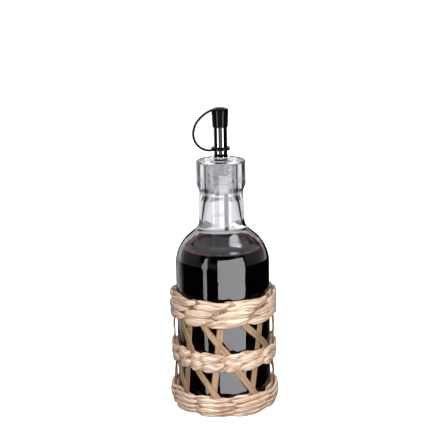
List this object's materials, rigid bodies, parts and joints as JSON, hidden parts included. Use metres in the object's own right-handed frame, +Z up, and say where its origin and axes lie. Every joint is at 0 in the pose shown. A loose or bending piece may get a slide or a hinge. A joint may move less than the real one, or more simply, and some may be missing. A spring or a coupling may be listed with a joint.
{
  "type": "oil and vinegar dispenser",
  "caption": "Round glass bottle of dark vinegar in a hand-woven rush sleeve, with a ribbed stopper, an upright steel spout and a black cap on a tether.",
  "frame": {"origin": "centre of the bottle's foot, on the surface it stands on", "axes": "+Z up along the bottle's axis; -Y is the front; the cap's tether lies towards -X"},
  "size_m": [0.077, 0.077, 0.2115],
  "materials": {
    "glass": "clear, glossy",
    "vinegar": "dark liquid",
    "stopper": "translucent white, satin",
    "steel": "polished stainless steel",
    "black_plastic": "black, half gloss",
    "strip": "dry split reed, matt",
    "weft": "dry rush leaf, matt"
  },
  "bodies": {
    "root": {"glass_bottle": "glass", "vinegar": "vinegar", "stopper": "stopper", "breather_tube": "steel", "spout": "steel", "cap": "black_plastic", "stake_1": "strip", "stake_2": "strip", "stake_3": "strip", "stake_4": "strip", "stake_5": "strip", "stake_6": "strip", "stake_7": "strip", "stake_8": "strip", "weft_base_1_a": "weft", "weft_base_1_b": "weft", "weft_base_2_a": "weft", "weft_base_2_b": "weft", "weft_base_3_a": "weft", "weft_base_3_b": "weft", "weft_base_4_a": "weft", "weft_base_4_b": "weft", "weft_middle_1_a": "weft", "weft_middle_1_b": "weft", "weft_middle_2_a": "weft", "weft_middle_2_b": "weft", "weft_top_1_a": "weft", "weft_top_1_b": "weft", "weft_top_2_a": "weft", "weft_top_2_b": "weft", "weft_top_3_a": "weft", "weft_top_3_b": "weft"}
  },
  "joints": []
}
